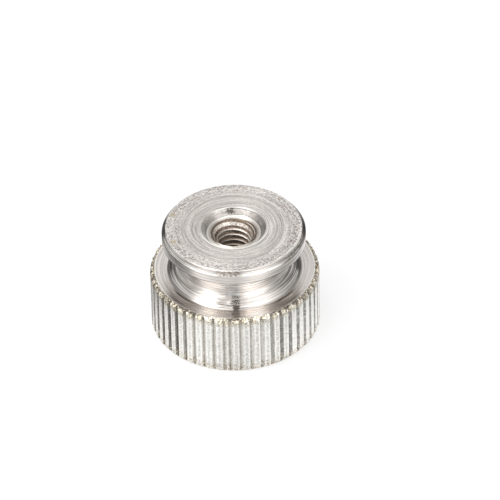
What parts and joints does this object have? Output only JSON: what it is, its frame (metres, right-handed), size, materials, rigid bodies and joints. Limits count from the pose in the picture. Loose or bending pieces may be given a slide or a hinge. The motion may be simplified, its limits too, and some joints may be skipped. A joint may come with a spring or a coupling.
{
  "type": "knurled thumb nut",
  "caption": "Round thumb nut with a straight-knurled head, a waisted neck, a smaller collar and an M3 threaded hole through its axis.",
  "frame": {"origin": "on the axis of the threaded hole, at the flat foot of the knurled head", "axes": "+Z along the thread axis, from the knurled head towards the collar"},
  "size_m": [0.013, 0.013, 0.009],
  "materials": {
    "nickel": "nickel plated steel, fine turned"
  },
  "bodies": {
    "root": {"thumb_nut": "nickel"}
  },
  "joints": []
}
